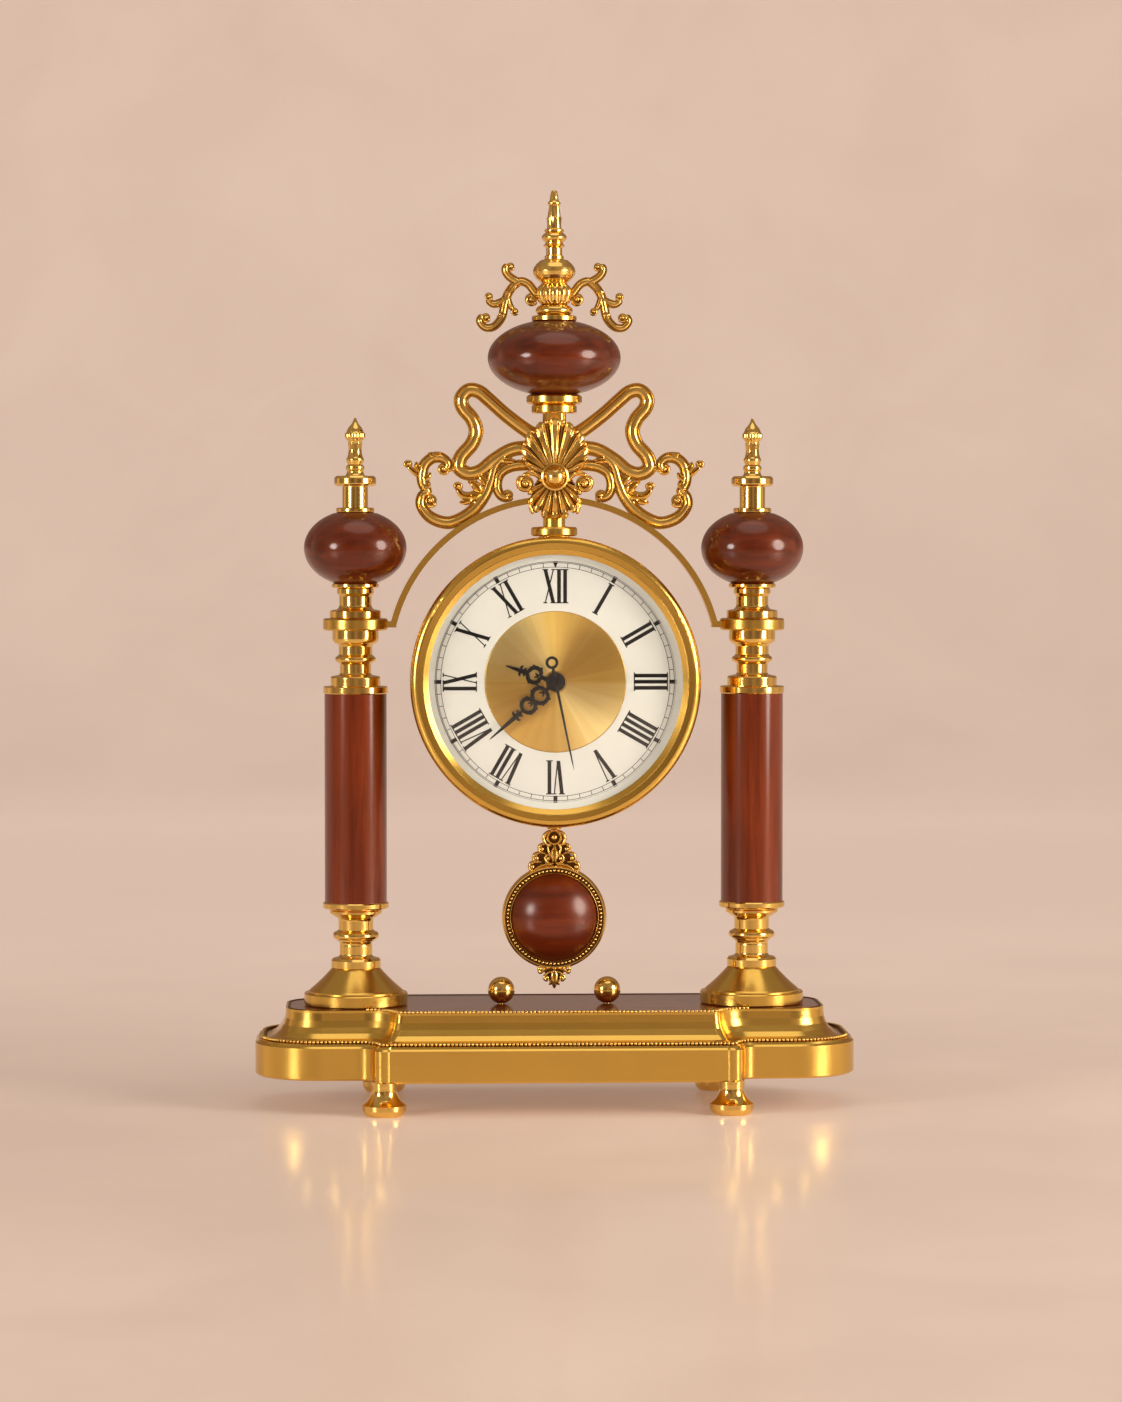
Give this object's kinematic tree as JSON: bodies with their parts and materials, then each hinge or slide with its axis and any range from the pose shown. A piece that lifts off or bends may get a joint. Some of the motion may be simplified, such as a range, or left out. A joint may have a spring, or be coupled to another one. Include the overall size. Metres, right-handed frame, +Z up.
{
  "type": "table clock",
  "caption": "Brass and dark wood table clock: turned columns carry an arch with a scrolled crest and a hanging round clock case, and a round bob swings below it.",
  "frame": {"origin": "on the table, under the middle of the base", "axes": "+Z up, -Y towards the front of the dial, +X to the right seen from the front"},
  "size_m": [0.3148, 0.1256, 0.481],
  "materials": {
    "satin_brass": "satin",
    "polished_brass": "polished",
    "antique_brass": "satin",
    "mahogany": "gloss lacquer",
    "panel_lacquer": "gloss lacquer",
    "dial_white": "matte",
    "dial_gold": "radially brushed",
    "lens_glass": "clear",
    "hand_black": "satin",
    "steel": "satin",
    "black_plastic": "matte",
    "gear_plastic": "matte",
    "battery_wrap": "gloss",
    "board_green": "matte"
  },
  "bodies": {
    "clock": {"arch": "satin_brass", "back_cover": "satin_brass", "back_cover_screws": "steel", "ball_seats": "polished_brass", "base_balls": "polished_brass", "base_bottom_plate": "satin_brass", "base_plate_screws": "steel", "base_shell": "satin_brass", "base_top_panel": "panel_lacquer", "battery": "battery_wrap", "bead_trims": "polished_brass", "bezel": "satin_brass", "case_drum": "satin_brass", "case_hanger": "polished_brass", "column_feet": "satin_brass", "crest_post": "polished_brass", "crest_scroll_left": "polished_brass", "crest_scroll_right": "polished_brass", "crown_ball": "mahogany", "crown_collar": "polished_brass", "crown_rod": "steel", "crown_spire": "polished_brass", "crown_vase": "polished_brass", "crown_wings": "polished_brass", "dial_centre": "dial_gold", "dial_plate": "dial_white", "feet": "polished_brass", "finials": "polished_brass", "hanger_bolt": "steel", "lens": "lens_glass", "lens_spacer": "satin_brass", "lower_spindles": "polished_brass", "motor_board": "board_green", "movement_back": "black_plastic", "movement_front": "black_plastic", "pendulum_drive": "black_plastic", "pivot_pin": "steel", "rosette_screw": "steel", "shell_rosette": "polished_brass", "stem_nut": "steel", "tie_rod_nuts": "steel", "tie_rods": "steel", "upper_spindles": "polished_brass", "wood_balls": "mahogany", "wood_column_left": "mahogany", "wood_column_right": "mahogany"},
    "hour_work": {"hour_wheel": "gear_plastic", "hour_hand": "hand_black"},
    "minute_work": {"minute_arbor": "gear_plastic", "minute_hand": "hand_black"},
    "second_work": {"second_arbor": "gear_plastic", "second_hand": "hand_black"},
    "third_work": {"third_wheel": "gear_plastic"},
    "motion_work": {"minute_wheel": "gear_plastic", "setting_knob": "black_plastic"},
    "pendulum": {"pendulum_rod": "steel", "pendulum_crest": "antique_brass", "bob_ring": "antique_brass", "bob_cabochon": "mahogany", "bob_drop": "antique_brass"}
  },
  "joints": [
    {"name": "minute_hand_turn", "type": "hinge", "parent": "clock", "child": "minute_work", "pos_m": [0, 0, 0.2231], "axis": [0, 1, 0], "continuous": true},
    {"name": "hour_hand_turn", "type": "hinge", "parent": "clock", "child": "hour_work", "pos_m": [0, 0, 0.2231], "axis": [0, 1, 0], "continuous": true},
    {"name": "second_hand_turn", "type": "hinge", "parent": "clock", "child": "second_work", "pos_m": [0, 0, 0.2231], "axis": [0, 1, 0], "continuous": true},
    {"name": "third_wheel_turn", "type": "hinge", "parent": "clock", "child": "third_work", "pos_m": [0.0085, 0, 0.2231], "axis": [0, 1, 0], "continuous": true},
    {"name": "setting_knob_turn", "type": "hinge", "parent": "clock", "child": "motion_work", "pos_m": [-0.00864, 0, 0.2231], "axis": [0, 1, 0], "continuous": true},
    {"name": "pendulum_swing", "type": "hinge", "parent": "clock", "child": "pendulum", "pos_m": [0, 0, 0.175], "axis": [0, 1, 0], "range_deg": [-6, 6]}
  ],
  "couplings": [
    {"joint": "minute_hand_turn", "follows": "second_hand_turn", "ratio": 0.016667},
    {"joint": "hour_hand_turn", "follows": "second_hand_turn", "ratio": 0.0013889},
    {"joint": "third_wheel_turn", "follows": "second_hand_turn", "ratio": -0.13333},
    {"joint": "setting_knob_turn", "follows": "second_hand_turn", "ratio": -0.0055556}
  ]
}
